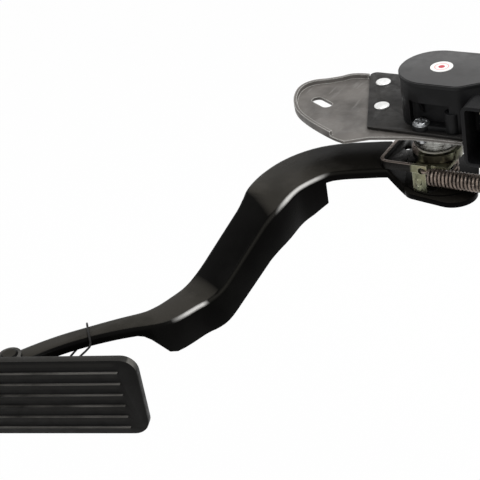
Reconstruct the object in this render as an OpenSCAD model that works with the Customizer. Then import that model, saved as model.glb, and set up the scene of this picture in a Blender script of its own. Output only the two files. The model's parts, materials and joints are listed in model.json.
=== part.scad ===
// Hanging accelerator pedal with its pivot bracket and throttle position sensor.
// Z is the pivot axis, Z = 0 is the underside of the mounting bracket, X runs along the bracket.

/* [Bracket] */
// Thickness of the bracket sheet
sheet_t = 2; // [1.6:0.2:3]
// Height of the turned-up rim of the bracket ear
rim_h = 2.8; // [2:0.2:5]
// Length of the fixing slot
slot_len = 17; // [14:0.5:20]
// Width of the fixing slot
slot_w = 7; // [6:0.5:8]
// Distance from the pivot to the fixing slot
slot_x = 76.6; // [72:0.5:82]
// Diameter of the fixing hole
fix_hole_d = 8.5; // [6.5:0.5:10]
// Distance from the pivot to the fixing hole
fix_hole_x = 78; // [74:0.5:84]
// Thickness of the sensor plate
plate_t = 2; // [1.6:0.2:3]
// Depth of the sensor plate in front of the pivot
plate_front = 23.6; // [22.5:0.2:25]
// Diameter of the plate rivet heads
rivet_head_d = 9.6; // [8:0.2:11]

/* [Pivot] */
// Diameter of the pivot shaft
shaft_d = 10; // [8:0.5:11]
// Running clearance of shafts in their bores, on the radius
run_gap = 0.05; // [0.02:0.01:0.1]
// Wall of the pivot bush
bush_wall = 2; // [1.5:0.25:2.5]
// Diameter of the bearing cup
cup_d = 27.6; // [25:0.2:30]
// Height of the bearing cup
cup_h = 15; // [14:0.5:17]
// Thickness of the thrust washer
washer_t = 1; // [0.8:0.1:1.5]
// Thickness of the lever sheet
lever_t = 2; // [1.6:0.2:2.4]
// Diameter of the lever collar
collar_d = 30.5; // [29.5:0.5:33]

/* [Springs] */
// Outer diameter of the return spring
spring_d = 11; // [10:0.2:12]
// Wire of the return spring
spring_wire = 1.6; // [1.2:0.1:1.8]
// Coils of the return spring
spring_turns = 18; // [14:1:19]
// Depth of the return spring below the bracket
spring_drop = 25; // [24.2:0.2:26]
// Distance from the pivot to the spring anchor
anchor_x = 62; // [60:0.5:66]
// Wire of the torsion spring round the shaft
torsion_wire = 2.2; // [1.8:0.1:2.4]

/* [Arm] */
// Thickness of the arm sheet
arm_t = 2.5; // [2:0.1:3]
// Depth of the arm web below the bracket
web_drop = 23; // [21.5:0.5:24]
// Further depth of the hub plate below the web
hub_drop = 13; // [12:0.5:15]
// Further depth of the shin below the web
crank_drop = 40; // [34:1:46]
// Distance from the pivot to the upper fold
fold_s = 101.5; // [96:0.5:108]
// Length of the sloping crank
crank_len = 50.5; // [44:0.5:58]
// Length from the lower fold to the pad pin
shin_len = 118; // [110:1:126]
// Width of the web at the hub
hub_w = 37; // [33:0.5:39]
// Width of the crank
crank_w = 30; // [26:0.5:33]
// Width of the neck below the crank
neck_w = 22; // [20:0.5:24]
// Width of the shin
shin_w = 14; // [12:0.5:16]
// Depth of the deep front flange
flange_h = 25; // [20:0.5:30]
// Depth of the edge flanges
lip_h = 5.5; // [4.5:0.5:7]
// Inner radius of the folds between web and flanges
fold_r = 0.8; // [0.4:0.1:1.5]

/* [Pad] */
// Length of the pad
pad_len = 107.5; // [100:0.5:116]
// Height of the pad along its pin
pad_h = 52; // [48:0.5:58]
// Thickness of the pad plate
pad_t = 5; // [4.4:0.2:6]
// Length of the pad above its pin
pad_up = 79.5; // [75:0.5:84]
// Ribs on the pad face
pad_ribs = 6; // [4:1:6]
// Spacing of the pad ribs
rib_pitch = 7.75; // [7:0.05:7.8]
// Diameter of the pad pin
pin_d = 8; // [6:0.5:9]
// Outer diameter of the eye that holds the pad pin
eye_d = 16; // [14.5:0.5:17]
// Height of the eye
eye_h = 14; // [12:0.5:15]

/* [Sensor] */
// Radius of the round end of the sensor can
can_r = 21.7; // [20.5:0.1:22.2]
// Height of the sensor can
can_h = 28; // [27:0.5:32]
// Wall of the sensor can
can_wall = 2.4; // [2:0.1:2.8]
// Thickness of the sensor lid
lid_t = 2.5; // [2:0.1:3]
// Height of the connector shroud
shroud_h = 38.5; // [35:0.5:40]
// Width of the connector shroud
shroud_w = 22; // [20:0.5:24]
// Wall of the connector shroud
shroud_wall = 2.2; // [1.8:0.1:2.6]
// Connector pins in each row
pin_rows = 3; // [2:1:3]

/* [Hidden] */
$fn = 64;
gap = 0.3;
eps = 0.01;
arm_turn = 245;
pad_turn = 19.1;
sensor_z = sheet_t + plate_t;
lid_z = sensor_z + can_h;
shaft_r = shaft_d / 2;
cup_r = cup_d / 2;
bush_r = shaft_r + run_gap + bush_wall;
spigot_r = bush_r + 2;
collar_z = -cup_h - gap - washer_t;
web_z = -web_drop;
hub_z = web_z - hub_drop;
shin_z = web_z - crank_drop;
lower_s = fold_s + crank_len;
eye_s = lower_s + shin_len;
eye_w = 68.6;
hub_lip_h = 4.2;
hub_step = 0.8;
hub_washer_t = 1.5;
clip_t = 1.2;
clip_z = hub_z - arm_t - hub_washer_t - clip_t - 0.2;
shaft_end_z = clip_z - 2;
flat_x = shaft_r - 1.5;
shaft_top_z = sensor_z + 13;
lever_y = -plate_front;
spring_r = spring_d / 2 - spring_wire / 2;
spring_pitch = 2.36;
spring_x0 = 4.6;
spring_x1 = spring_x0 + spring_turns * spring_pitch;
spring_z = -spring_drop;
hook_z = spring_z + spring_r - 1.2;
stop_turn = 19.9;
stop_xy = [26.05, -3.33];
socket_x = 30;
socket_y = -30;
socket_back = -9;
socket_top = sensor_z + 24;
socket_z = socket_top - shroud_h;
chamber_r = 11;
seal_r = 8;
deck_z = sensor_z + 19.5;
board_z = lid_z - 4;
board_t = 1.6;
screw_xy = [[-0.5, -18.3], [8, can_r + 7.1]];
boss_xy = [19.5, -17.5];
rivet_xy = [[-48.2, 32], [-35.6, 2.5]];
post_xy = [[27, 13], [26, -9], [-15, 11]];
pad_back_y = -eye_d / 2 - 2;
pad_face_y = pad_back_y - pad_t;
ear_t = 2.2;
bush_flange = 0.8;
eye_top = shin_z + 0.3;
ear_top_z = eye_top + bush_flange + 0.3;
ear_low_z = eye_top - eye_h - bush_flange - 0.3 - ear_t;
pad_top_z = ear_top_z + ear_t + 6;
pad_low_z = pad_top_z - pad_h;
eye_bore_r = pin_d / 2 + run_gap + 1;
pin_low_z = ear_low_z - 8;
pad_wire = 1.3;

// Place of a point of the arm, given along and across its heading
function arm_xy(s, w) = s * [cos(arm_turn), sin(arm_turn)] + w * [cos(arm_turn - 90), sin(arm_turn - 90)];
// Table value with its corners rounded over the distance h
function soft(s, t, h) = (lookup(s - 2 * h, t) + lookup(s - h, t) + lookup(s, t)
  + lookup(s + h, t) + lookup(s + 2 * h, t)) / 5;
// Ring of points round p, square to the direction d
function ring(p, d, r, ref, m = 8) = let (a = cross(d, ref) / norm(cross(d, ref)), b = cross(d / norm(d), a))
  [for (k = [0:m - 1]) p + r * (cos(360 * k / m) * a + sin(360 * k / m) * b)];
eye_xy = arm_xy(eye_s, eye_w);

// Closed solid through a row of rings that have equal numbers of points
module skin(rings) {
  m = len(rings[0]);
  n = len(rings);
  sides = [for (i = [0:n - 2]) for (j = [0:m - 1])
    let (a = i * m + j, b = i * m + (j + 1) % m) each [[a, a + m, b + m], [a, b + m, b]]];
  ends = [[for (j = [0:m - 1]) j], [for (j = [m - 1:-1:0]) (n - 1) * m + j]];
  polyhedron(points = [for (r = rings) each r], faces = concat(sides, ends), convexity = 10);
}
// Wire bent through a list of points
module wire(pts, r, ref, m = 8) {
  n = len(pts);
  skin([for (i = [0:n - 1]) ring(pts[i], pts[min(i + 1, n - 1)] - pts[max(i - 1, 0)], r, ref, m)]);
}
module disc(r, z, h) { translate([0, 0, z]) cylinder(r = r, h = h); }
module at(p, z = 0) { translate([p[0], p[1], z]) children(); }
module bar2d(len, w) {
  square([len - w, w], center = true);
  for (x = [-1, 1]) translate([x * (len - w) / 2, 0]) circle(d = w);
}
module rounded2d(x0, y0, x1, y1, r) {
  hull() for (x = [x0 + r, x1 - r]) for (y = [y0 + r, y1 - r]) translate([x, y]) circle(r = r, $fn = 32);
}

// Bracket: a stamped sheet with a rimmed ear to the left, a forked right end and two turned-down lugs
ear_edge = [[-58, 40], [-66, 39.5], [-73, 37.5], [-78, 33], [-85, 28.5], [-93, 24.5], [-97.5, 18], [-98, 10],
  [-95, 0], [-90, -9], [-83, -17], [-73, -24.5], [-61, -31.5], [-49, -37.5], [-41, -40]];
module ear2d() {
  n = len(ear_edge);
  pts = [for (i = [0:n - 2]) for (t = [0:0.25:0.75])
    let (a = ear_edge[max(i - 1, 0)], b = ear_edge[i], c = ear_edge[i + 1], d = ear_edge[min(i + 2, n - 1)])
    0.5 * (2 * b + (c - a) * t + (2 * a - 5 * b + 4 * c - d) * t * t + (3 * b - a - 3 * c + d) * t * t * t)];
  polygon(concat(pts, [[-41, -40], [-30, -33], [-30, 40]]));
}
module bracket2d() {
  ear2d();
  polygon([[-41, -40], [-28, -32], [-4, -plate_front - 2.5], [27.5, -plate_front - 1.5], [27.5, -7],
    [56, -7], [56, lever_y - 1], [anchor_x + 6, lever_y - 1], [anchor_x + 10, -16], [anchor_x + 10, 30],
    [50, 40], [-58, 40]]);
  translate([fix_hole_x, 8]) circle(r = 14);
}
module mount_bracket() {
  color([0.52, 0.52, 0.51]) {
    difference() {
      union() {
        linear_extrude(sheet_t) bracket2d();
        translate([0, 0, sheet_t - eps]) linear_extrude(rim_h) difference() {
          ear2d();
          offset(delta = -sheet_t) ear2d();
          translate([-61.3, 0]) square([65, 66]);
          translate([-52, -34]) square([60, 100]);
          translate([-52, -36]) rotate([0, 0, -26.6]) translate([0, -20]) square([60, 60]);
        }
        anchor_lug();
        stop_tab();
      }
      disc(spigot_r, -1, sheet_t + 2);
      at([-slot_x, 2.3], -1) rotate([0, 0, -28]) linear_extrude(sheet_t + 2) bar2d(slot_len, slot_w);
      at([fix_hole_x, 8], -1) cylinder(d = fix_hole_d, h = sheet_t + 2);
      for (p = rivet_xy) at(p, -1) cylinder(d = 5, h = sheet_t + 2);
      for (p = screw_xy) at(p, -1) cylinder(d = 5, h = sheet_t + 2);
    }
  }
}
module anchor_lug() {
  difference() {
    translate([anchor_x - 5, lever_y - sheet_t / 2, spring_z - 3])
      cube([10, sheet_t, 3 + sheet_t - spring_z]);
    translate([anchor_x - 2, lever_y + 2, hook_z]) rotate([90, 0, 0]) cylinder(d = 4.4, h = 4);
  }
}
module stop_tab() {
  at(stop_xy) rotate([0, 0, stop_turn]) difference() {
    translate([7.5, -6, hub_z - 8]) cube([3, 12, -hub_z + 8 + sheet_t / 2]);
    translate([6, 0, hub_z - 2]) rotate([0, 90, 0]) cylinder(d = 4, h = 6);
  }
}
// Plate that carries the sensor, riveted on the bracket
module sensor_plate() {
  color([0.30, 0.30, 0.31]) difference() {
    translate([0, 0, sheet_t]) linear_extrude(plate_t) difference() {
      hull() {
        translate([-31.5, 3 - plate_front]) circle(r = 3, $fn = 32);
        translate([-57, 40.5]) circle(r = 4, $fn = 32);
        translate([50, 38.5]) circle(r = 6, $fn = 32);
        translate([50, 6 - plate_front]) circle(r = 6, $fn = 32);
      }
      translate([28, -40]) square([40, 33]);
    }
    disc(bush_r + gap, sheet_t - 1, plate_t + 2);
    for (p = rivet_xy) at(p, sheet_t - 1) cylinder(d = 5, h = plate_t + 2);
    for (p = screw_xy) at(p, sheet_t - 1) cylinder(d = 5, h = plate_t + 2);
  }
}
module plate_rivets() {
  color([0.85, 0.85, 0.84]) for (p = rivet_xy) at(p) {
    translate([0, 0, sensor_z]) rivet_head();
    cylinder(d = 5, h = sensor_z);
    mirror([0, 0, 1]) rivet_head();
  }
}
module rivet_head() {
  rotate_extrude() polygon([[0, 0], [rivet_head_d / 2, 0], [rivet_head_d / 2 - 0.2, 0.6],
    [rivet_head_d / 2 - 1, 1], [0, 1.2]]);
}
// Turned bearing housing swaged into the bracket
module bearing_cup() {
  color([0.80, 0.81, 0.80]) rotate_extrude() difference() {
    union() {
      translate([0, 2.5 - cup_h]) square([cup_r, cup_h - 2.5]);
      translate([0, -cup_h]) square([cup_r - 2.5, cup_h]);
      translate([cup_r - 2.5, 2.5 - cup_h]) circle(r = 2.5);
      square([spigot_r, sheet_t]);
    }
    translate([-20, -50]) square([20 + bush_r, 100]);
    translate([bush_r + 3.2, 2 - cup_h - 5]) square([1.2, 4]);
  }
}
module pivot_bush() {
  color([0.72, 0.55, 0.30]) difference() {
    disc(bush_r, -cup_h + gap, cup_h + sensor_z - 2 * gap);
    disc(shaft_r + run_gap, -cup_h - 1, cup_h + sensor_z + 4);
  }
}
module pivot_shaft() {
  color([0.70, 0.70, 0.70]) difference() {
    union() {
      disc(shaft_r, shaft_end_z, shaft_top_z - shaft_end_z - 1);
      translate([0, 0, shaft_top_z - 1]) cylinder(r1 = shaft_r, r2 = shaft_r - 1, h = 1);
    }
    translate([flat_x, -10, sensor_z + 5]) cube([10, 20, 20]);
    translate([0, 0, clip_z]) difference() {
      cylinder(r = shaft_r + 1, h = clip_t);
      cylinder(r = shaft_r - 0.8, h = clip_t);
    }
  }
}
module thrust_washer() {
  color([0.90, 0.88, 0.80]) difference() {
    disc(cup_r - 1.5, collar_z, washer_t);
    disc(shaft_r + 0.2, collar_z - 1, washer_t + 2);
  }
}
// Pressed lever of yellow-plated sheet: domed collar, tray with turned-up edges and the tab for the spring
tray_z = web_z;
tray_h = 5.2;
tray_x = -28.4;
module spring_lever() {
  color([0.74, 0.70, 0.50]) {
    rotate_extrude() polygon([[shaft_r, collar_z], [collar_d / 2, collar_z], [collar_d / 2, tray_z + 0.7],
      [collar_d / 2 - lever_t, tray_z + 0.7], [collar_d / 2 - lever_t, collar_z - lever_t],
      [shaft_r, collar_z - lever_t]]);
    difference() {
      union() {
        translate([0, 0, tray_z]) linear_extrude(tray_h) lever2d();
        hook_tab();
      }
      translate([0, 0, tray_z + lever_t]) linear_extrude(tray_h)
        rounded2d(tray_x + lever_t, lever_y + lever_t / 2, 60, 60, 3.5);
      translate([3, -60, tray_z + lever_t]) cube([60, 120, tray_h]);
      translate([3, -60, tray_z - 1]) cube([60, 60 + lever_y + spring_d / 2 + gap, 20]);
      disc(collar_d / 2 - lever_t / 2, tray_z - 1, 20);
      at([-19.2, -1.2], tray_z - 1) cylinder(d = 4.4, h = 8);
      translate([-0.6, lever_y + 4, hook_z]) rotate([90, 0, 0]) cylinder(d = 4.4, h = 8);
    }
  }
}
module lever2d() {
  rounded2d(tray_x, lever_y - lever_t / 2, 14, 12, 5.5);
}
module hook_tab() {
  face = lever_t / 2;
  translate([-6.5, lever_y - face + 0.1, hub_z + gap]) cube([8.5, lever_t - 0.2, tray_z - hub_z + 0.7]);
  for (z = [tray_z - 6.3, tray_z - 10.5]) translate([-2.6, lever_y, z]) rotate([90, 0, 0])
    rotate_extrude($fn = 32) polygon([[0, 0], [2.2, 0], [2.2, face], [1.5, face + 0.7], [0, face + 1]]);
}
// Second return spring, wound round the shaft
module torsion_spring() {
  turns = 4;
  r = collar_d / 2 - lever_t - torsion_wire / 2 - 1.15;
  z0 = hub_z + torsion_wire / 2 + gap;
  z1 = collar_z - lever_t - torsion_wire / 2 - gap;
  coil = [for (t = [0:1 / 20:turns]) [r * cos(360 * t), r * sin(360 * t), z0 + (z1 - z0) * t / turns]];
  color([0.42, 0.34, 0.24]) wire(coil, torsion_wire / 2, [0, 0, 1]);
}
// Stamped channel arm: joggled hub, cranked middle with a deep front flange, slim shin and a rolled eye
arm_line = [[-20, -17], [0, 3.5], [17.5, 21.5], [42, 46.4], [54, 52.1], [68, 53.1], [fold_s - 17, 50.6],
  [fold_s - 6, 45], [fold_s + 2, 42.2], [lower_s, 42.2], [lower_s + 11, 42], [lower_s + 23, 40],
  [lower_s + 34, 39.8], [lower_s + 41, 43.5], [lower_s + 56, 51.5], [lower_s + 71, 57.7],
  [lower_s + 84, 62.5], [lower_s + 98, 66], [eye_s, eye_w], [eye_s + 20, eye_w + 2]];
arm_width = [[0, hub_w], [42, hub_w + 1], [68, hub_w], [fold_s - 10, crank_w + 2.6], [fold_s + 5, crank_w],
  [lower_s - 4, crank_w], [lower_s + 11, neck_w + 2], [lower_s + 34, neck_w], [lower_s + 42, shin_w + 3.5],
  [lower_s + 56, shin_w + 1.5], [lower_s + 71, shin_w], [eye_s - 20, shin_w], [eye_s, shin_w + 1]];
arm_level = [[13.6, hub_z - 0.15], [18.2, web_z], [fold_s, web_z], [lower_s, shin_z]];
flange_drop = [[57.9, lip_h], [58.1, flange_h - 5.5], [75, flange_h - 2], [fold_s, flange_h],
  [lower_s - 2, flange_h - 3], [lower_s + 9, flange_h - 4.5], [lower_s + 31, flange_h - 3.5],
  [lower_s + 35, flange_h - 5.5], [lower_s + 38, flange_h / 2], [lower_s + 41, lip_h + 3],
  [lower_s + 45, lip_h]];
arm_steps = concat([for (s = [6.2:3.2:54.4]) s], [57.9, 58.1], [for (s = [61.2:3.2:eye_s]) s]);
arc_steps = [0:30:90];
function arm_z(s) = soft(s, arm_level, s < 40 ? 0.6 : 4.5);
function arm_across(s) = soft(s, arm_line, 3);
// Section of the channel: front and back flange depths df and db, half width b
function channel(b, df, db) = let (ro = arm_t + fold_r, c = b - ro) concat(
  [[b, -df]], [for (q = arc_steps) [c + ro * cos(q), -ro + ro * sin(q)]],
  [for (q = arc_steps) [-c - ro * sin(q), -ro + ro * cos(q)]], [[-b, -db], [arm_t - b, -db]],
  [for (q = arc_steps) [-c - fold_r * cos(q), -ro + fold_r * sin(q)]],
  [for (q = arc_steps) [c + fold_r * sin(q), -ro + fold_r * cos(q)]], [[b - arm_t, -df]]);
function arm_ring(s) = let (turn = atan2(arm_across(s - 1) - arm_across(s + 1), 2), w = arm_across(s),
  z = arm_z(s)) [for (p = channel(soft(s, arm_width, 2) / 2, lookup(s, flange_drop), lip_h))
  [s - p[0] * sin(turn), p[0] * cos(turn) - w, z + p[1]]];
module hub2d(inset = 0) {
  hull() {
    translate([0, 4]) circle(r = 22 - inset);
    translate([-4.8, -16.5]) circle(r = 11 - inset);
    translate([16, -16.7]) circle(r = 14 - inset);
  }
}
module pedal_arm() {
  color([0.10, 0.10, 0.11]) {
    difference() {
      translate([0, 0, hub_z - hub_lip_h]) linear_extrude(hub_lip_h) hub2d();
      translate([0, 0, hub_z - 2 * hub_lip_h]) linear_extrude(2 * hub_lip_h - arm_t) hub2d(arm_t);
      disc(shaft_r, hub_z - 20, 30);
      at([1.5, -19], hub_z - 1.4) cylinder(r = 4, h = 20);
      translate([0, 0, hub_z - hub_step]) linear_extrude(5) difference() {
        hub2d(-5);
        translate([4, -2]) circle(r = 24);
      }
    }
    difference() {
      union() {
        rotate([0, 0, arm_turn]) skin([for (s = arm_steps) arm_ring(s)]);
        at(eye_xy, eye_top - eye_h) cylinder(d = eye_d, h = eye_h);
      }
      at(eye_xy, eye_top - eye_h - 1) cylinder(r = eye_bore_r, h = eye_h + 2);
    }
  }
}
module hub_washer() {
  color([0.66, 0.66, 0.64]) difference() {
    disc(shaft_r + 4, hub_z - arm_t - hub_washer_t, hub_washer_t);
    disc(shaft_r, hub_z - arm_t - 5, 10);
  }
}
module shaft_clip() {
  color([0.35, 0.35, 0.36]) translate([0, 0, clip_z]) difference() {
    cylinder(r = shaft_r + 2.2, h = clip_t);
    translate([0, 0, -1]) cylinder(r = shaft_r - 0.8, h = clip_t + 2);
    translate([0, -1.5, -1]) cube([20, 3, clip_t + 2]);
  }
}
// Tension spring between the lever lug and the bracket lug
module return_spring() {
  coil = [for (t = [0:1 / 16:spring_turns + 0.001])
    [spring_x0 + spring_pitch * t, lever_y - spring_r * sin(360 * t), spring_z + spring_r * cos(360 * t)]];
  side = sheet_t / 2 + spring_wire / 2 + 0.2;
  xa = anchor_x - 2;
  first = [[-0.7, lever_y + side + 0.4, hook_z], [-0.7, lever_y + 1, hook_z], [-0.5, lever_y, hook_z],
    [0, lever_y - 1, hook_z], [1, lever_y - side, hook_z], [2.8, lever_y - side + 0.2, hook_z]];
  last = [[spring_x1 + 2, lever_y - 0.8, hook_z], [xa - 4, lever_y - side, hook_z],
    [xa - 1.8, lever_y - side - 0.2, hook_z], [xa - 0.8, lever_y - 1, hook_z], [xa, lever_y, hook_z],
    [xa + 0.8, lever_y + 1, hook_z], [xa + 1.6, lever_y + side, hook_z]];
  color([0.50, 0.44, 0.36]) {
    wire(coil, spring_wire / 2, [1, 0, 0], 7);
    wire(concat(first, [coil[0]]), spring_wire / 2, [0, 0, 1]);
    wire(concat([coil[len(coil) - 1]], last), spring_wire / 2, [0, 0, 1]);
  }
}
module idle_bumper() {
  color([0.08, 0.08, 0.08]) at(stop_xy, hub_z - 2) rotate([0, 0, stop_turn]) rotate([0, 90, 0]) {
    translate([0, 0, gap]) cylinder(r = 4.5, h = 7.5 - gap);
    translate([0, 0, 7.5 - eps]) cylinder(r = 2, h = 3.5);
    translate([0, 0, 10.5]) cylinder(r = 3, h = 1.5);
  }
}
// Moulded sensor can with its base flange, screw niche, rib, hollow boss and connector shroud in one piece
module can2d(inset = 0) {
  hull() {
    translate([2.8, 1.8]) circle(r = can_r - inset);
    translate([22, 9.8 - can_r]) circle(r = 8 - inset);
    translate([22, can_r - 6.2]) circle(r = 8 - inset);
    translate([37, -3.5]) circle(r = 6 - inset);
    translate([37, 7]) circle(r = 6 - inset);
  }
}
module sensor_housing() {
  color([0.13, 0.13, 0.14]) difference() {
    union() {
      translate([0, 0, sensor_z]) linear_extrude(can_h) can2d();
      for (p = screw_xy) at(p, sensor_z) cylinder(r = 5.2, h = 3);
      translate([screw_xy[1][0] - 5.2, 15, sensor_z]) cube([10.4, screw_xy[1][1] - 15, 3]);
      at(boss_xy, sensor_z) cylinder(r = 4.6, h = 13);
      translate([28.5, socket_back, sensor_z]) cube([24, 22, 23]);
      shroud();
    }
    niche();
    difference() {
      translate([0, 0, deck_z]) linear_extrude(can_h) can2d(can_wall);
      for (p = post_xy) at(p, deck_z - 1) cylinder(r = 2.2, h = board_z - deck_z + 1);
    }
    disc(chamber_r, sensor_z + 4, can_h);
    disc(shaft_r + run_gap, sensor_z - 1, 10);
    disc(seal_r, sensor_z - 1, 4);
    for (p = screw_xy) at(p, sensor_z - 1) cylinder(d = 5, h = 5);
    pin_bars();
  }
}
module niche() {
  difference() {
    translate([-7.5, -30, sensor_z + 3]) cube([26, 17.1, 14.5]);
    at(boss_xy, sensor_z) cylinder(r = 4.6, h = 13);
    translate([0.3, -12, sensor_z + 3]) rotate([90, 0, -90]) linear_extrude(1.6)
      polygon([[-1, 5], [1, 5], [7.6, 15], [-1, 15]]);
  }
  at(boss_xy, sensor_z + 4) cylinder(r = 2.2, h = 10);
}
module shroud() {
  translate([0, socket_back, 0]) rotate([90, 0, 0]) linear_extrude(socket_back - socket_y) difference() {
    shroud2d(0);
    shroud2d(shroud_wall);
  }
  translate([0, socket_back + 2, 0]) rotate([90, 0, 0]) linear_extrude(2 + eps) shroud2d(0);
}
module shroud2d(inset) {
  rounded2d(socket_x + inset, socket_z + inset, socket_x + shroud_w - inset, socket_top - inset, 4 - inset);
}
module sensor_lid() {
  color([0.45, 0.45, 0.46]) {
    translate([0, 0, lid_z]) linear_extrude(lid_t - 0.5) can2d(-0.4);
    translate([0, 0, lid_z + lid_t - 0.5 - eps]) linear_extrude(0.5) can2d(0.1);
    translate([0, 0, lid_z - 2]) linear_extrude(2 + eps) difference() {
      can2d(can_wall + 0.1);
      can2d(can_wall + 1.6);
    }
  }
}
module lid_disc() {
  color([0.95, 0.95, 0.94]) at([6.2, 2.1], lid_z + lid_t - eps) cylinder(r = 7.4, h = 0.3);
}
module sensor_screws() {
  color([0.78, 0.79, 0.80]) for (p = screw_xy) at(p) difference() {
    union() {
      translate([0, 0, -5]) cylinder(d = 4.9, h = sensor_z + 9);
      translate([0, 0, sensor_z + 3]) cylinder(r = 5, h = 0.8);
      translate([0, 0, sensor_z + 3.8 - eps]) rotate_extrude()
        polygon([[0, 0], [4.2, 0], [4.2, 0.9], [3.4, 1.7], [0, 2.1]]);
      translate([0, 0, -3.2]) cylinder(r = 4.2, h = 3.2, $fn = 6);
    }
    translate([-0.6, -5, sensor_z + 5]) cube([1.2, 10, 3]);
    translate([-5, -0.6, sensor_z + 5]) cube([10, 1.2, 3]);
  }
}
module shaft_seal() {
  color([0.12, 0.10, 0.10]) difference() {
    disc(seal_r, sensor_z, 2.8);
    disc(shaft_r + run_gap, sensor_z - 1, 5);
    translate([0, 0, sensor_z + 1]) rotate_extrude() translate([6.6, 0]) square([0.6, 3]);
  }
}
module sensor_rotor() {
  color([0.85, 0.83, 0.75]) difference() {
    union() {
      disc(chamber_r - 2, sensor_z + 4.6, deck_z - sensor_z - 4.6);
      disc(14, deck_z + 0.6, 2);
      disc(chamber_r - 2, deck_z - eps, 1);
    }
    intersection() {
      disc(shaft_r, sensor_z, shaft_top_z - sensor_z + 0.4);
      translate([-20, -20, 0]) cube([20 + flat_x, 40, 60]);
    }
  }
}
module wiper_contacts() {
  color([0.80, 0.62, 0.30]) for (y = [-9, -6, 5, 8]) translate([-4, y, deck_z + 2.6]) {
    cube([10, 1.6, 0.3]);
    rotate([0, -8, 0]) cube([9.5, 1.6, 0.3]);
  }
}
module track_board() {
  color([0.20, 0.35, 0.24]) difference() {
    translate([0, 0, board_z]) linear_extrude(board_t) can2d(can_wall + 0.1);
    translate([34, -30, board_z - 1]) cube([30, 22, 4]);
  }
}
module pin_bars() {
  for (i = [0:pin_rows - 1]) for (x = [-1, 1])
    translate([socket_x + shroud_w / 2 + x * 3.5 - 0.6, socket_back - 10, socket_top - 10 - 7 * i])
      cube([1.2, 13, 1.2]);
}
module connector_pins() {
  color([0.78, 0.74, 0.60]) pin_bars();
}
// Pad and its hinge, drawn from the pin: X along the pad, Y away from the foot
module pad_frame() { at(eye_xy) rotate([0, 0, pad_turn]) children(); }
module eye_bushes() {
  color([0.85, 0.83, 0.75]) at(eye_xy) for (m = [0, 1])
    translate([0, 0, eye_top - eye_h * m]) mirror([0, 0, m]) difference() {
      union() {
        translate([0, 0, -eye_h / 2 + 0.5]) cylinder(r = eye_bore_r, h = eye_h / 2 - 0.5);
        cylinder(r = eye_bore_r + 2, h = bush_flange);
      }
      translate([0, 0, -eye_h]) cylinder(r = pin_d / 2 + run_gap, h = 2 * eye_h);
    }
}
module pad_pin() {
  color([0.62, 0.62, 0.60]) at(eye_xy) difference() {
    union() {
      translate([0, 0, pin_low_z]) cylinder(d = pin_d, h = ear_top_z + ear_t - pin_low_z);
      translate([0, 0, ear_top_z + ear_t]) cylinder(d1 = pin_d + 2.4, d2 = pin_d, h = 0.8);
    }
    translate([0, 0, pin_low_z + 1.4]) difference() {
      cylinder(d = pin_d + 1, h = 1);
      cylinder(d = pin_d - 1.4, h = 1);
    }
  }
}
module pin_clip() {
  color([0.30, 0.30, 0.31]) at(eye_xy, pin_low_z + 1.4) difference() {
    cylinder(d = pin_d + 4, h = 1);
    translate([0, 0, -1]) cylinder(d = pin_d - 1.4, h = 3);
    translate([0, -1.2, -1]) cube([10, 2.4, 3]);
  }
}
// Hairpin spring: coiled round the pin, one leg over the arm, the other behind the pad
module pad_spring() {
  r = pin_d / 2 + pad_wire / 2 + 0.5;
  z0 = pin_low_z + 3.4 + pad_wire / 2;
  z1 = z0 + 2.6;
  top = shin_z + pad_wire / 2 + gap;
  turns = 2.25;
  coil = [for (t = [0:1 / 16:turns]) [r * sin(360 * t), r * cos(360 * t), z0 + 2.6 * t / turns]];
  leg = [[r + 1, -r * 0.5, z1 + 0.6], [20, 4, z1 + 2], [35.8, 32.8, shin_z - lip_h - 3],
    [36.4, 33.7, shin_z - 1.5], [36.8, 33, top - 0.4], [37.5, 31.2, top], [43.4, 16.4, top],
    [44.5, 13.6, top - 0.5], [44.8, 10.5, top - 0.6], [44.2, 5.5, top + 0.3], [43, -1, top + 1.6],
    [42.4, pad_back_y + 3, top + 3], [42.3, pad_back_y + pad_wire / 2 + gap, top + 4]];
  color([0.55, 0.50, 0.36]) pad_frame() wire(concat(coil, leg), pad_wire / 2, [0, 0, 1], 6);
}
module pedal_pad() {
  rib = [[0.5, 0.9], [0.5, -0.9], [-0.9, -0.7], [-1.3, -0.3], [-1.3, 0.3], [-0.9, 0.7]];
  color([0.09, 0.09, 0.09]) pad_frame() difference() {
    union() {
      translate([0, pad_back_y, 0]) rotate([90, 0, 0]) linear_extrude(pad_t)
        rounded2d(pad_up - pad_len, pad_low_z, pad_up, pad_top_z, 9.5);
      for (i = [0:pad_ribs - 1])
        translate([pad_up - pad_len + 8, pad_face_y, pad_top_z - 8.6 - i * rib_pitch])
          rotate([90, 0, 90]) linear_extrude(pad_len - 19) polygon(rib);
      for (z = [ear_top_z, ear_low_z]) translate([0, 0, z]) linear_extrude(ear_t) hull() {
        circle(r = 7);
        translate([-9, pad_back_y - 1]) square([18, 1]);
      }
    }
    translate([0, 0, ear_low_z - 5]) cylinder(d = pin_d, h = 40);
    translate([pad_up - pad_len + 6, pad_back_y - pad_t / 2, pad_low_z + 7]) cube([10, pad_t, pad_h - 14]);
    for (k = [0:2]) translate([12 + k * (pad_up - 18) / 3, pad_back_y - pad_t / 2, pad_low_z + 7])
      cube([(pad_up - 18) / 3 - 3, pad_t, pad_h - 14]);
  }
}

mount_bracket();
sensor_plate();
plate_rivets();
bearing_cup();
pivot_bush();
pivot_shaft();
thrust_washer();
spring_lever();
torsion_spring();
pedal_arm();
hub_washer();
shaft_clip();
return_spring();
idle_bumper();
sensor_housing();
sensor_lid();
lid_disc();
sensor_screws();
shaft_seal();
sensor_rotor();
wiper_contacts();
track_board();
connector_pins();
eye_bushes();
pad_pin();
pin_clip();
pad_spring();
pedal_pad();
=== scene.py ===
import json
import math

import bpy
from mathutils import Matrix, Vector


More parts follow.
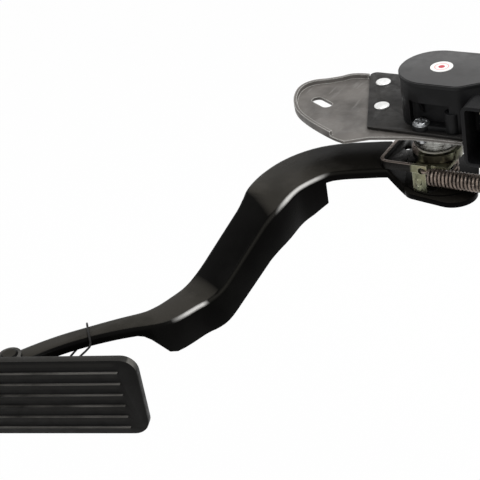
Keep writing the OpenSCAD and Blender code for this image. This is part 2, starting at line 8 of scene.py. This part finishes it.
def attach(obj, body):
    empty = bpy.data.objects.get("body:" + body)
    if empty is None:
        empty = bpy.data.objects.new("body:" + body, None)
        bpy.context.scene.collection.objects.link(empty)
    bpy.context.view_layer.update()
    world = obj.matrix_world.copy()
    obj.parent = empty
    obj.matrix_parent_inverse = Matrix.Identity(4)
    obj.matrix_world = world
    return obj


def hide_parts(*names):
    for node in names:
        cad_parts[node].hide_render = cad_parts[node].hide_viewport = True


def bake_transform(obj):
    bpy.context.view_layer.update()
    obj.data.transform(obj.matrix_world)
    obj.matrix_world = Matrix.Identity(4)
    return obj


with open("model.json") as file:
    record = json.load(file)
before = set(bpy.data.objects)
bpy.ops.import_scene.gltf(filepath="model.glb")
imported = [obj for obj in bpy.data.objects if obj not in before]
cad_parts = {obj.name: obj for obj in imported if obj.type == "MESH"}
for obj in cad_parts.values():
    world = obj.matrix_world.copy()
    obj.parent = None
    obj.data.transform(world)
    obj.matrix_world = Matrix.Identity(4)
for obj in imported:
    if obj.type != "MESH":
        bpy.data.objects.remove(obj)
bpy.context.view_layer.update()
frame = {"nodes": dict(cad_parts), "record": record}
nodes = frame["nodes"]

# Camera: a long lens on the driver's side, above the bracket and rolled a little.
# Its place was worked out from the ellipses and parallel edges of the photograph.
lens_mm = 107.625
camera_at = Vector((0.32786, -0.68945, 0.40336))
camera_right = Vector((0.85954, 0.48780, -0.15245))
camera_up = Vector((-0.14840, 0.52367, 0.83890))
camera_data = bpy.data.cameras.new("camera")
camera_data.lens = lens_mm
camera_data.sensor_width = 36
camera_data.sensor_fit = "HORIZONTAL"
camera = bpy.data.objects.new("camera", camera_data)
bpy.context.collection.objects.link(camera)
turn = Matrix((camera_right, camera_up, camera_right.cross(camera_up))).transposed()
camera.matrix_world = Matrix.Translation(camera_at) @ turn.to_4x4()
bpy.context.scene.camera = camera
bpy.context.scene.view_settings.view_transform = "Standard"

# Studio: a pale room, a ceiling box, two narrow side strips and a plain floor well below the hanging part.
# The backdrop shows white to the camera and in reflections, and the floor keeps its shadow.
room_light = 0.42
floor_z = -0.26
world = bpy.data.worlds.new("room")
bpy.context.scene.world = world
world.use_nodes = True


def seen_straight(tree):
    """1 where a camera, mirror or glass ray looks, else 0."""
    path = tree.nodes.new("ShaderNodeLightPath")
    both = tree.nodes.new("ShaderNodeMath")
    both.operation = "MAXIMUM"
    tree.links.new(path.outputs["Is Camera Ray"], both.inputs[0])
    tree.links.new(path.outputs["Is Glossy Ray"], both.inputs[1])
    all_three = tree.nodes.new("ShaderNodeMath")
    all_three.operation = "MAXIMUM"
    tree.links.new(both.outputs[0], all_three.inputs[0])
    tree.links.new(path.outputs["Is Transmission Ray"], all_three.inputs[1])
    return all_three.outputs[0]


strength = world.node_tree.nodes.new("ShaderNodeMapRange")
strength.inputs["To Min"].default_value = room_light
strength.inputs["To Max"].default_value = 1.0
world.node_tree.links.new(seen_straight(world.node_tree), strength.inputs["Value"])
backdrop = world.node_tree.nodes["Background"]
backdrop.inputs["Color"].default_value = (1, 1, 1, 1)
world.node_tree.links.new(strength.outputs["Result"], backdrop.inputs["Strength"])


def soft_box(name, place, aim, size, power):
    """A square area lamp at place that looks at aim."""
    lamp = bpy.data.lights.new(name, "AREA")
    lamp.shape = "RECTANGLE"
    lamp.size, lamp.size_y = size
    lamp.energy = power
    holder = bpy.data.objects.new(name, lamp)
    bpy.context.collection.objects.link(holder)
    holder.location = place
    holder.rotation_euler = (Vector(aim) - Vector(place)).to_track_quat("-Z", "Y").to_euler()


soft_box("ceiling_box", (0.15, 0.25, 0.95), (-0.04, -0.05, -0.03), (0.8, 0.8), 6.0)
soft_box("strip_right", (0.63, -0.12, 0.76), (-0.10, -0.19, -0.06), (0.9, 0.06), 4.0)
soft_box("strip_left", (-0.80, -0.45, 0.40), (-0.05, -0.10, -0.05), (0.10, 0.7), 1.2)

bpy.ops.object.select_all(action="DESELECT")
bpy.ops.mesh.primitive_plane_add(size=4.0, location=(0, 0, floor_z))
floor = bpy.context.object
floor.name = "floor"
floor_paint = bpy.data.materials.new("floor_paint")
floor_paint.use_nodes = True
floor_tree = floor_paint.node_tree
floor_base = floor_tree.nodes["Principled BSDF"]
floor_base.inputs["Base Color"].default_value = (0.93, 0.93, 0.93, 1)
floor_base.inputs["Roughness"].default_value = 0.9
floor_base.inputs["Specular IOR Level"].default_value = 0.1
floor_glow = floor_tree.nodes.new("ShaderNodeEmission")
floor_share = floor_tree.nodes.new("ShaderNodeMath")
floor_share.operation = "MULTIPLY"
floor_share.inputs[1].default_value = 0.975
floor_tree.links.new(seen_straight(floor_tree), floor_share.inputs[0])
floor_mix = floor_tree.nodes.new("ShaderNodeMixShader")
floor_tree.links.new(floor_share.outputs[0], floor_mix.inputs[0])
floor_tree.links.new(floor_base.outputs[0], floor_mix.inputs[1])
floor_tree.links.new(floor_glow.outputs[0], floor_mix.inputs[2])
floor_tree.links.new(floor_mix.outputs[0], floor_tree.nodes["Material Output"].inputs["Surface"])
floor.data.materials.append(floor_paint)

# Mounting bracket: stamped 2 mm steel with a turned-up rim, grey zinc all over.
# The press left faint draw marks, and handling rubbed its edges bright.


def group_of(name, inputs, outputs):
    """An empty node group with its sockets, its input node and its output node."""
    tree = bpy.data.node_groups.new(name, "ShaderNodeTree")
    for label, kind, value in inputs:
        tree.interface.new_socket(label, in_out="INPUT", socket_type=kind).default_value = value
    for label in outputs:
        tree.interface.new_socket(label, in_out="OUTPUT", socket_type="NodeSocketFloat")
    return tree, tree.nodes.new("NodeGroupInput"), tree.nodes.new("NodeGroupOutput")


number = "NodeSocketFloat"
patches, given, made = group_of("patches", [
    ("Scale", number, 50.0), ("Low", number, 0.4), ("High", number, 0.6),
    ("Stretch", "NodeSocketVector", (1, 1, 1))], ["Mask"])
place = patches.nodes.new("ShaderNodeTexCoord")
stretch = patches.nodes.new("ShaderNodeVectorMath")
stretch.operation = "MULTIPLY"
cloud = patches.nodes.new("ShaderNodeTexNoise")
cloud.inputs["Detail"].default_value = 5.0
spread = patches.nodes.new("ShaderNodeMapRange")
patches.links.new(place.outputs["Object"], stretch.inputs[0])
patches.links.new(given.outputs["Stretch"], stretch.inputs[1])
patches.links.new(stretch.outputs[0], cloud.inputs["Vector"])
patches.links.new(given.outputs["Scale"], cloud.inputs["Scale"])
patches.links.new(cloud.outputs["Fac"], spread.inputs["Value"])
patches.links.new(given.outputs["Low"], spread.inputs["From Min"])
patches.links.new(given.outputs["High"], spread.inputs["From Max"])
patches.links.new(spread.outputs["Result"], made.inputs["Mask"])

edge_rub, given, made = group_of("edge_rub", [("Width", number, 0.0006), ("Amount", number, 1.0)], ["Mask"])
rounded = edge_rub.nodes.new("ShaderNodeBevel")
rounded.samples = 4
facing = edge_rub.nodes.new("ShaderNodeNewGeometry")
alike = edge_rub.nodes.new("ShaderNodeVectorMath")
alike.operation = "DOT_PRODUCT"
rim = edge_rub.nodes.new("ShaderNodeMapRange")
rim.inputs["From Min"].default_value = 0.995
rim.inputs["From Max"].default_value = 0.86
edge_rub.links.new(given.outputs["Width"], rounded.inputs["Radius"])
edge_rub.links.new(rounded.outputs["Normal"], alike.inputs[0])
edge_rub.links.new(facing.outputs["Normal"], alike.inputs[1])
edge_rub.links.new(alike.outputs["Value"], rim.inputs["Value"])
edge_rub.links.new(given.outputs["Amount"], rim.inputs["To Max"])
edge_rub.links.new(rim.outputs["Result"], made.inputs["Mask"])


class Finish:
    """A material under way: its tree, its shader and the nodes that give its colour."""

    def __init__(self, name, colour, rough, metal=0.0, specular=0.5):
        self.material = bpy.data.materials.new(name)
        self.material.use_nodes = True
        self.tree = self.material.node_tree
        self.shader = self.tree.nodes["Principled BSDF"]
        self.shader.inputs["Metallic"].default_value = metal
        self.shader.inputs["Specular IOR Level"].default_value = specular
        self.shader.inputs["Roughness"].default_value = rough
        plain = self.tree.nodes.new("ShaderNodeRGB")
        plain.outputs[0].default_value = (*colour, 1)
        self.colour = plain.outputs[0]
        self.tree.links.new(self.colour, self.shader.inputs["Base Color"])

    def mask(self, scale, low=0.4, high=0.6, stretch=(1, 1, 1)):
        """Cloudy patches; a higher scale makes them smaller."""
        node = self.tree.nodes.new("ShaderNodeGroup")
        node.node_tree = patches
        for label, value in (("Scale", scale), ("Low", low), ("High", high), ("Stretch", stretch)):
            node.inputs[label].default_value = value
        return node.outputs["Mask"]

    def edges(self, width, amount=1.0):
        """Rubbed edges and corners."""
        node = self.tree.nodes.new("ShaderNodeGroup")
        node.node_tree = edge_rub
        node.inputs["Width"].default_value = width
        node.inputs["Amount"].default_value = amount
        return node.outputs["Mask"]

    def between(self, value, low, high):
        """0 up to low and 1 from high on, or the other way round where high is the smaller."""
        node = self.tree.nodes.new("ShaderNodeMapRange")
        node.inputs["From Min"].default_value = low
        node.inputs["From Max"].default_value = high
        self.tree.links.new(value, node.inputs["Value"])
        return node.outputs["Result"]

    def upward(self, low, high):
        """1 on faces that look up; the tops it picks out get painted light."""
        facing = self.tree.nodes.new("ShaderNodeNewGeometry")
        parts = self.tree.nodes.new("ShaderNodeSeparateXYZ")
        self.tree.links.new(facing.outputs["Normal"], parts.inputs[0])
        return self.between(parts.outputs["Z"], low, high)

    def leaning(self, source, direction):
        """How far the surface's place (Object, in metres) or its Normal goes along a direction."""
        place = self.tree.nodes.new("ShaderNodeTexCoord")
        node = self.tree.nodes.new("ShaderNodeVectorMath")
        node.operation = "DOT_PRODUCT"
        node.inputs[1].default_value = direction
        self.tree.links.new(place.outputs[source], node.inputs[0])
        return node.outputs["Value"]

    def from_axis(self, x, y):
        """Distance from an upright axis, in metres."""
        place = self.tree.nodes.new("ShaderNodeTexCoord")
        offset = self.tree.nodes.new("ShaderNodeMapping")
        offset.inputs["Location"].default_value = (-x, -y, 0)
        offset.inputs["Scale"].default_value = (1, 1, 0)
        far = self.tree.nodes.new("ShaderNodeVectorMath")
        far.operation = "LENGTH"
        self.tree.links.new(place.outputs["Object"], offset.inputs["Vector"])
        self.tree.links.new(offset.outputs[0], far.inputs[0])
        return far.outputs["Value"]

    def math(self, kind, a, b=0):
        node = self.tree.nodes.new("ShaderNodeMath")
        node.operation = kind
        for socket, value in zip(node.inputs, (a, b)):
            if isinstance(value, (int, float)):
                socket.default_value = value
            else:
                self.tree.links.new(value, socket)
        return node.outputs[0]

    def both(self, a, b):
        return self.math("MULTIPLY", a, b)

    def run(self, value, start, full, fading, end):
        """Rises from start to full and falls from fading to end."""
        return self.both(self.between(value, start, full), self.between(value, end, fading))

    def tint(self, colour, mask):
        """Lays a second colour over the first where the mask is 1."""
        node = self.tree.nodes.new("ShaderNodeMix")
        node.data_type = "RGBA"
        self.tree.links.new(mask, node.inputs["Factor"])
        self.tree.links.new(self.colour, node.inputs["A"])
        node.inputs["B"].default_value = (*colour, 1)
        self.colour = node.outputs["Result"]
        self.tree.links.new(self.colour, self.shader.inputs["Base Color"])

    def roughen(self, low, high, mask):
        node = self.tree.nodes.new("ShaderNodeMapRange")
        node.inputs["To Min"].default_value = low
        node.inputs["To Max"].default_value = high
        self.tree.links.new(mask, node.inputs["Value"])
        self.tree.links.new(node.outputs["Result"], self.shader.inputs["Roughness"])

    def relief(self, mask, depth):
        """Adds a bump of the given depth in metres."""
        bump = self.tree.nodes.new("ShaderNodeBump")
        bump.inputs["Distance"].default_value = depth
        self.tree.links.new(mask, bump.inputs["Height"])
        self.tree.links.new(bump.outputs["Normal"], self.shader.inputs["Normal"])


def refined(node, name, finish, crease=32, edge=0.0003, rides=True):
    """A welded copy of a CAD node with rounded edges, soft shading and a finish, in that node's stead."""
    bpy.ops.object.select_all(action="DESELECT")
    piece = bpy.data.objects.new(name, nodes[node].data.copy())
    bpy.context.collection.objects.link(piece)
    piece.data.materials.clear()
    piece.data.materials.append(finish.material)
    bpy.context.view_layer.objects.active = piece
    piece.select_set(True)
    bpy.ops.object.mode_set(mode="EDIT")
    bpy.ops.mesh.select_all(action="SELECT")
    bpy.ops.mesh.remove_doubles(threshold=2e-6)
    bpy.ops.mesh.dissolve_limited(angle_limit=math.radians(0.4))
    bpy.ops.object.mode_set(mode="OBJECT")
    if edge:
        bevel = piece.modifiers.new("edge", "BEVEL")
        bevel.width = edge
        bevel.segments = 2
        bevel.limit_method = "ANGLE"
        bevel.angle_limit = math.radians(crease)
        bevel.use_clamp_overlap = True
        bpy.ops.object.modifier_apply(modifier="edge")
    bpy.ops.object.shade_smooth_by_angle(angle=math.radians(crease))
    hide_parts(node)
    if rides:
        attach(piece, body_of_node[node])
    return piece


body_of_node = {}
for body, members in frame["record"]["behaviour"]["bodies"].items():
    body_of_node.update(dict.fromkeys(members, body))

zinc_grey = Finish("bracket_zinc", (0.150, 0.139, 0.128), 0.45, metal=0.4, specular=0.25)
zinc_grey.tint((0.080, 0.074, 0.068), zinc_grey.mask(45, 0.42, 0.66))
zinc_grey.tint((0.20, 0.19, 0.18), zinc_grey.mask(420, 0.60, 0.78, (1, 0.12, 1)))
zinc_grey.tint((0.62, 0.61, 0.58), zinc_grey.edges(0.0010, 0.85))
zinc_grey.roughen(0.38, 0.58, zinc_grey.mask(160, 0.35, 0.65))
zinc_grey.relief(zinc_grey.mask(900), 0.00003)
refined("mount_bracket", "bracket_sheet", zinc_grey, edge=0.0004)

# Sensor plate: flat 2 mm steel, dark phosphate coat, riveted on the bracket.
# Its cut edges show a thin bright line.
dark_coat = Finish("plate_coat", (0.019, 0.0175, 0.016), 0.45, metal=0.1, specular=0.17)
dark_coat.tint((0.010, 0.009, 0.0085), dark_coat.mask(60, 0.4, 0.62))
dark_coat.tint((0.045, 0.042, 0.038), dark_coat.mask(500, 0.64, 0.8, (0.1, 1, 1)))
dark_coat.tint((0.17, 0.16, 0.15), dark_coat.edges(0.0005, 0.7))
dark_coat.roughen(0.36, 0.56, dark_coat.mask(220, 0.35, 0.65))
dark_coat.relief(dark_coat.mask(1200), 0.00003)
refined("sensor_plate", "plate_sheet", dark_coat, edge=0.0003)

# Rivets: two flat-headed rivets of bright aluminium that hold the plate on the bracket.
# They are set cold, which leaves a brushed face.
rivet_metal = Finish("rivet_aluminium", (0.86, 0.86, 0.85), 0.38, metal=0.6)
rivet_metal.tint((0.70, 0.70, 0.69), rivet_metal.mask(700, 0.45, 0.7, (1, 0.2, 1)))
rivet_metal.relief(rivet_metal.mask(1500, 0.4, 0.6, (1, 0.3, 1)), 0.00003)
refined("plate_rivets", "rivet_pair", rivet_metal, crease=40, edge=0.0002)

# Bearing cup: turned steel under the bracket, bright zinc, with fine rings from the lathe.
cup_zinc = Finish("cup_zinc", (0.33, 0.33, 0.31), 0.26, metal=0.95)
# The dark streaks and the bright rings are painted reflections and painted highlights; the lathe rings
# themselves are in the bump.
cup_zinc.tint((0.06, 0.058, 0.054), cup_zinc.mask(120, 0.43, 0.56, (1, 1, 0.5)))
cup_zinc.tint((0.80, 0.80, 0.78), cup_zinc.mask(300, 0.60, 0.75, (0.2, 0.2, 6)))
cup_zinc.roughen(0.18, 0.38, cup_zinc.mask(130, 0.35, 0.65))
cup_zinc.relief(cup_zinc.mask(260, 0.4, 0.6, (0.1, 0.1, 8)), 0.00005)
refined("bearing_cup", "turned_cup", cup_zinc, edge=0.0003)

# Pivot: a sintered bronze bush, a ground steel shaft, its washers and a black clip.
# They sit inside the cup and under the hub. The clip and bushes of the pad's pin are made alike.


def coat(node, finish):
    """Gives a CAD node that stays as it is a finish."""
    nodes[node].data.materials.clear()
    nodes[node].data.materials.append(finish.material)


bronze = Finish("bush_bronze", (0.42, 0.28, 0.13), 0.45, metal=0.9)
bronze.tint((0.25, 0.17, 0.09), bronze.mask(900, 0.5, 0.65))
ground_steel = Finish("shaft_steel", (0.62, 0.62, 0.61), 0.25, metal=0.95)
ground_steel.relief(ground_steel.mask(300, 0.4, 0.6, (0.1, 0.1, 6)), 0.00002)
white_nylon = Finish("natural_nylon", (0.78, 0.75, 0.66), 0.5)
white_nylon.relief(white_nylon.mask(900), 0.00002)
clip_steel = Finish("clip_steel", (0.10, 0.09, 0.085), 0.35, metal=0.8)
clip_steel.tint((0.20, 0.18, 0.16), clip_steel.mask(300, 0.5, 0.7))
dark_nylon = Finish("bush_nylon", (0.010, 0.010, 0.010), 0.45, specular=0.2)
dark_nylon.tint((0.020, 0.020, 0.019), dark_nylon.mask(400, 0.5, 0.7))
for node, finish in (("pivot_bush", bronze), ("pivot_shaft", ground_steel), ("thrust_washer", white_nylon),
                     ("hub_washer", cup_zinc), ("shaft_clip", clip_steel), ("pin_clip", clip_steel),
                     ("eye_bushes", dark_nylon), ("sensor_rotor", white_nylon)):
    coat(node, finish)

# Spring lever: pressed 2 mm steel with yellow zinc, which shines gold, green and rose by turns.
# Its tray is painted near black inside as painted shade, with a painted highlight along its rim, and its
# collar is darker, partly dirt and partly painted shade.
yellow_zinc = Finish("lever_yellow_zinc", (0.235, 0.225, 0.14), 0.30, metal=0.85)
yellow_zinc.tint((0.155, 0.165, 0.11), yellow_zinc.mask(110, 0.35, 0.65))
yellow_zinc.tint((0.30, 0.21, 0.13), yellow_zinc.mask(75, 0.52, 0.75))
yellow_zinc.tint((0.06, 0.055, 0.036), yellow_zinc.mask(170, 0.50, 0.66, (1, 1, 0.4)))
yellow_zinc.tint((0.66, 0.66, 0.52), yellow_zinc.edges(0.0006, 0.7))
# The collar round the shaft is darker in patches, partly dirt and partly painted shade under the cup.
collar = yellow_zinc.both(yellow_zinc.between(yellow_zinc.from_axis(0, 0), 0.0165, 0.0155),
                          yellow_zinc.mask(150, 0.38, 0.55, (1, 1, 0.6)))
yellow_zinc.tint((0.030, 0.026, 0.016), collar)
# The tray left of the shaft is painted near black as painted shade, and the top of its rim pale as a painted
# highlight.
tray_side = yellow_zinc.between(yellow_zinc.leaning("Object", (1, 0, 0)), -0.0062, -0.0078)
tray_top = yellow_zinc.between(yellow_zinc.leaning("Object", (0, 0, 1)), -0.0182, -0.0179)
yellow_zinc.tint((0.012, 0.011, 0.010), tray_side)
yellow_zinc.tint((0.30, 0.25, 0.22), yellow_zinc.both(tray_side, tray_top))
yellow_zinc.roughen(0.22, 0.45, yellow_zinc.mask(260, 0.35, 0.65))
yellow_zinc.relief(yellow_zinc.mask(800), 0.00003)
refined("spring_lever", "pressed_lever", yellow_zinc, edge=0.0004)

# Springs: oiled spring wire, brown where the oil has caught the dust.
# The tension spring is wound close, the second one sits round the shaft, and the third one tilts the pad.
# The first and the third join the two bodies and are attached to neither.
spring_wire = Finish("spring_wire", (0.22, 0.175, 0.145), 0.35, metal=0.7)
spring_wire.tint((0.10, 0.080, 0.067), spring_wire.mask(240, 0.45, 0.62))
spring_wire.tint((0.46, 0.385, 0.33), spring_wire.mask(700, 0.58, 0.72))
spring_wire.roughen(0.26, 0.5, spring_wire.mask(500, 0.35, 0.65))
black_wire = Finish("pad_spring_wire", (0.0040, 0.0038, 0.0036), 0.35, specular=0.12)
black_wire.tint((0.012, 0.011, 0.010), black_wire.mask(500, 0.55, 0.7))
tension_spring = refined("return_spring", "return_spring_wire", spring_wire, crease=75, edge=0, rides=False)
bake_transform(tension_spring)
refined("torsion_spring", "torsion_spring_wire", spring_wire, crease=75, edge=0)
tilt_spring = refined("pad_spring", "pad_spring_wire", black_wire, crease=75, edge=0, rides=False)
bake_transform(tilt_spring)

# Arm: one stamping of 2.5 mm steel, cranked twice, with folded edges and a deep front flange.
# It is dipped in gloss black paint, a little thick and wavy. The grey of its level tops, the pale line on
# its level folds and the faint grey on its folds up to the neck are colour: painted reflections, which the
# lamps here don't give.
black_gloss = Finish("arm_black_paint", (0.0022, 0.0020, 0.0018), 0.3, specular=0.022)
black_gloss.tint((0.0042, 0.0040, 0.0036), black_gloss.mask(28, 0.45, 0.62))
down_arm = (-0.4226, -0.9063, 0)
across_arm = (0.9063, -0.4226, 0)
reach = black_gloss.leaning("Object", down_arm)
web_top = black_gloss.upward(0.88, 0.97)
by_hub = black_gloss.both(web_top, black_gloss.between(reach, 0.004, 0.012))
level_web = black_gloss.both(web_top, black_gloss.between(reach, 0.044, 0.051))
# The level tops get a grey painted reflection.
black_gloss.tint((0.019, 0.0175, 0.015), by_hub)
black_gloss.tint((0.040, 0.037, 0.032), level_web)
black_gloss.tint((0.029, 0.027, 0.023), black_gloss.both(level_web, black_gloss.mask(55, 0.45, 0.65)))
fold = black_gloss.both(black_gloss.between(black_gloss.leaning("Normal", across_arm), 0.26, 0.54),
                        black_gloss.between(black_gloss.leaning("Normal", (0, 0, 1)), 0.36, 0.66))
level_fold = black_gloss.both(fold, black_gloss.between(black_gloss.leaning("Normal", down_arm), 0.26, 0.10))
upper_run = black_gloss.run(reach, 0.056, 0.066, 0.092, 0.104)
lower_run = black_gloss.run(reach, 0.146, 0.153, 0.173, 0.184)
before_neck = black_gloss.between(reach, 0.186, 0.176)
# A faint painted reflection along the folds up to the neck.
black_gloss.tint((0.016, 0.015, 0.013), black_gloss.both(fold, before_neck))
runs = black_gloss.math("ADD", upper_run, lower_run)
# A pale painted highlight along the level folds.
black_gloss.tint((0.60, 0.59, 0.57), black_gloss.both(level_fold, runs))
black_gloss.roughen(0.18, 0.30, black_gloss.mask(90, 0.35, 0.65))
black_gloss.relief(black_gloss.mask(150), 0.00002)
refined("pedal_arm", "cranked_arm", black_gloss, crease=44, edge=0.0004)
coat("pad_pin", black_gloss)

# Rest stop and shaft seal: black rubber, moulded, dull with bloom.
# The stop is pressed on the bracket's tab, and the seal sits in the can round the shaft.
rubber = Finish("black_rubber", (0.022, 0.022, 0.022), 0.75)
rubber.tint((0.05, 0.05, 0.048), rubber.mask(350, 0.5, 0.7))
for node in ("idle_bumper", "shaft_seal"):
    coat(node, rubber)

# Sensor can: one moulding of glass-filled black nylon with its niche, rib, boss and connector shroud.
# The surface has a fine spark grain and paler corners.
can_plastic = Finish("can_plastic", (0.0050, 0.0050, 0.0053), 0.40, specular=0.14)
can_plastic.tint((0.008, 0.008, 0.0084), can_plastic.mask(55, 0.42, 0.64))
can_plastic.tint((0.034, 0.034, 0.035), can_plastic.edges(0.0006, 0.5))
can_plastic.roughen(0.28, 0.50, can_plastic.mask(200, 0.35, 0.65))
can_plastic.relief(can_plastic.mask(2600), 0.00003)
refined("sensor_housing", "moulded_can", can_plastic, edge=0.0004)

# Lid: a separate black moulding, welded on the can.
# The paler colour of its top stands in for the sheen of its satin face.
lid_plastic = Finish("lid_plastic", (0.010, 0.010, 0.0105), 0.40, specular=0.16)
lid_top = lid_plastic.upward(0.7, 0.98)
lid_plastic.tint((0.066, 0.065, 0.065), lid_top)
lid_plastic.tint((0.052, 0.051, 0.051), lid_plastic.both(lid_top, lid_plastic.mask(40, 0.42, 0.64)))
lid_plastic.tint((0.012, 0.012, 0.012), lid_plastic.edges(0.0006, 0.6))
lid_plastic.roughen(0.34, 0.48, lid_plastic.mask(160, 0.35, 0.65))
lid_plastic.relief(lid_plastic.mask(2600), 0.00002)
refined("sensor_lid", "moulded_lid", lid_plastic, edge=0.0003)

# Disc on the lid: a plain white dot of coated paper with a small red mark and ring in the middle.
# It lies flat on the lid, glued, a tenth smaller than its solid.
disc_at = (0.0062, 0.0021, 0.0)
disc_share = 0.9
mark_radius = 0.0019
ring_inside, ring_outside = 0.0037, 0.0044
paper = Finish("disc_paper", (0.86, 0.86, 0.84), 0.55)
paper.tint((0.78, 0.77, 0.74), paper.mask(300, 0.5, 0.75))
from_middle = paper.from_axis(disc_at[0], disc_at[1])
ring = paper.both(paper.math("LESS_THAN", from_middle, ring_outside),
                  paper.math("GREATER_THAN", from_middle, ring_inside))
paper.tint((0.80, 0.42, 0.42), ring)
paper.tint((0.50, 0.05, 0.07), paper.math("LESS_THAN", from_middle, mark_radius))
refined("lid_disc", "paper_dot", paper, crease=40, edge=0)
bpy.ops.object.mode_set(mode="EDIT")
bpy.ops.mesh.select_all(action="SELECT")
bpy.ops.transform.resize(value=(disc_share, disc_share, 1), center_override=disc_at)
bpy.ops.object.mode_set(mode="OBJECT")

# Screws: zinc-plated pan heads with their washers, driven into clinched nuts.
# They hold the sensor on its plate.
screw_zinc = Finish("screw_zinc", (0.44, 0.45, 0.46), 0.30, metal=0.9)
screw_zinc.tint((0.14, 0.145, 0.15), screw_zinc.mask(320, 0.46, 0.60))
screw_zinc.relief(screw_zinc.mask(900), 0.00003)
refined("sensor_screws", "sensor_screw_pair", screw_zinc, crease=40, edge=0.0002)

# Inside of the sensor: a green track board, tinned brass wiper fingers and the blades of the plug.
# The blades show in the mouth of the connector shroud.
board = Finish("board_green", (0.03, 0.12, 0.06), 0.4)
board.tint((0.05, 0.16, 0.08), board.mask(400, 0.45, 0.6))
tin = Finish("tinned_brass", (0.66, 0.60, 0.46), 0.3, metal=0.9)
tin.tint((0.45, 0.42, 0.36), tin.mask(600, 0.5, 0.65))
for node, finish in (("track_board", board), ("wiper_contacts", tin), ("connector_pins", tin)):
    coat(node, finish)

# Pad: a moulding of black plastic with raised ribs, satin and finely grained.
# The paler upward faces, the pale crests and the bands under them are painted sheen and painted shade on the
# ribs.
pad_out = (0.327, -0.945, 0)
pad_along = (0.945, 0.327, 0)
rib_end = -0.1686
first_rib_z = -0.062
rib_pitch = 0.00775
pad_plastic = Finish("pad_plastic", (0.0050, 0.0046, 0.0042), 0.40, specular=0.10)
pad_plastic.tint((0.0090, 0.0086, 0.0078), pad_plastic.mask(36, 0.42, 0.64))
# Faces that look up are painted paler, as painted sheen.
pad_plastic.tint((0.019, 0.018, 0.016), pad_plastic.upward(0.45, 0.9))
pad_front = pad_plastic.between(pad_plastic.leaning("Normal", pad_out), 0.8, 0.95)
ribbed = pad_plastic.between(pad_plastic.leaning("Object", pad_along), rib_end, rib_end - 0.003)
ribbed_front = pad_plastic.both(pad_front, ribbed)
pad_z = pad_plastic.leaning("Object", (0, 0, 1))
under_first = pad_plastic.math("SUBTRACT", first_rib_z, pad_z)
under_rib = pad_plastic.math("FRACT", pad_plastic.math("DIVIDE", under_first, rib_pitch))
# Under each crest a pale band of painted sheen, and above the next crest a band of painted shade.
pale_sheen_band = pad_plastic.run(under_rib, 0.10, 0.20, 0.38, 0.52)
shaded = pad_plastic.both(pad_plastic.between(under_rib, 0.60, 0.74), pad_plastic.mask(34, 0.30, 0.50))
pad_plastic.tint((0.0125, 0.0118, 0.0105), pad_plastic.both(pale_sheen_band, ribbed_front))
pad_plastic.tint((0.0014, 0.0013, 0.0012), pad_plastic.both(shaded, ribbed_front))
rib_crest = pad_plastic.both(pad_plastic.upward(0.2, 0.6), pad_plastic.between(pad_z, -0.0545, -0.0550))
pad_plastic.tint((0.135, 0.13, 0.12), pad_plastic.both(rib_crest, pad_plastic.mask(30, 0.30, 0.55)))
pad_plastic.tint((0.050, 0.048, 0.044), pad_plastic.edges(0.0006, 0.4))
pad_plastic.roughen(0.32, 0.52, pad_plastic.mask(180, 0.35, 0.65))
pad_plastic.relief(pad_plastic.mask(2400), 0.00003)
refined("pedal_pad", "ribbed_pad", pad_plastic, edge=0.0005)
